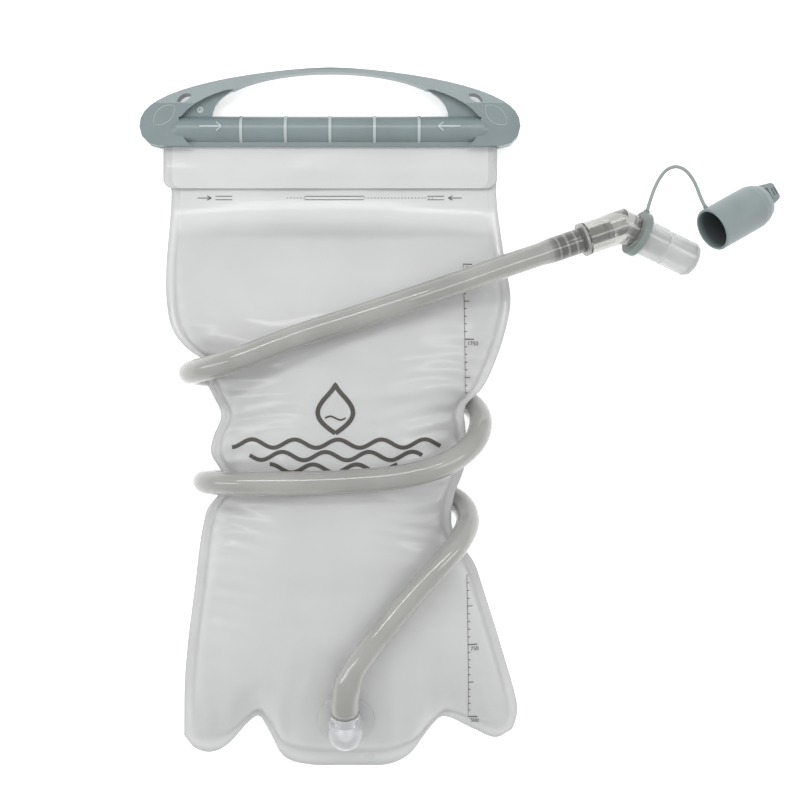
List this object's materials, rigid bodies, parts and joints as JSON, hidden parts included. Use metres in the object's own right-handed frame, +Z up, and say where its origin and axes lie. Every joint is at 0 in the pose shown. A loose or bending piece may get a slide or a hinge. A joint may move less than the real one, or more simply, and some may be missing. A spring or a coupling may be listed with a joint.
{
  "type": "hydration bladder",
  "caption": "Filled soft drinking reservoir with a slide seal and carrying handle, its hose wound round the waist and ending in a bite valve with a dust cap.",
  "frame": {"origin": "on the surface the bladder lies on, under the middle of the bag with its slide seal", "axes": "+Z up, out of the printed front film; +Y along the bag from its bottom edge to the carrying handle; +X across the bag to the side where the hose leaves it"},
  "size_m": [0.3235, 0.3504, 0.0647],
  "materials": {
    "film": "milky translucent polyurethane film, satin",
    "rail": "extruded rod",
    "seal_plastic": "satin injection moulding, sage grey",
    "port_plastic": "moulded, welded to the film",
    "port_clear": "clear moulding",
    "hose_tube": "extruded translucent polyurethane",
    "spigot_plastic": "white moulding",
    "elbow_clear": "clear moulding with a smoky tint",
    "cap_plastic": "satin moulding, sage grey",
    "strap_plastic": "flexible moulding",
    "silicone": "frosted silicone",
    "o_ring": "moulded ring"
  },
  "bodies": {
    "bag": {"front_film": "film", "back_film": "film", "seal_rail": "rail", "port_base": "port_plastic", "port_o_ring": "o_ring", "port_elbow": "port_clear", "hose": "hose_tube", "hose_spigot": "spigot_plastic", "spigot_o_ring": "o_ring"},
    "seal": {"slide_seal": "seal_plastic"},
    "mouthpiece": {"valve_elbow": "elbow_clear", "bite_valve": "silicone"},
    "ring": {"cap_ring": "cap_plastic", "cap_tether": "strap_plastic"},
    "cap": {"dust_cap": "cap_plastic"}
  },
  "joints": [
    {"name": "seal_slide", "type": "slide", "parent": "bag", "child": "seal", "axis": [1, 0, 0], "range_m": [0, 0.17]},
    {"name": "mouthpiece_swivel", "type": "hinge", "parent": "bag", "child": "mouthpiece", "pos_m": [0.1254, 0.0869, 0.0269], "axis": [-0.9173, -0.3285, 0.225], "range_deg": [0, 105]},
    {"name": "cap_ring_turn", "type": "hinge", "parent": "mouthpiece", "child": "ring", "pos_m": [0.14604, 0.09429, 0.02184], "axis": [-0.8678, 0.3955, 0.3007], "range_deg": [0, 225]},
    {"name": "cap_swing", "type": "hinge", "parent": "ring", "child": "cap", "pos_m": [0.1869, 0.10423, 0.0221], "axis": [0, 0, 1], "range_deg": [-15, 30]}
  ]
}
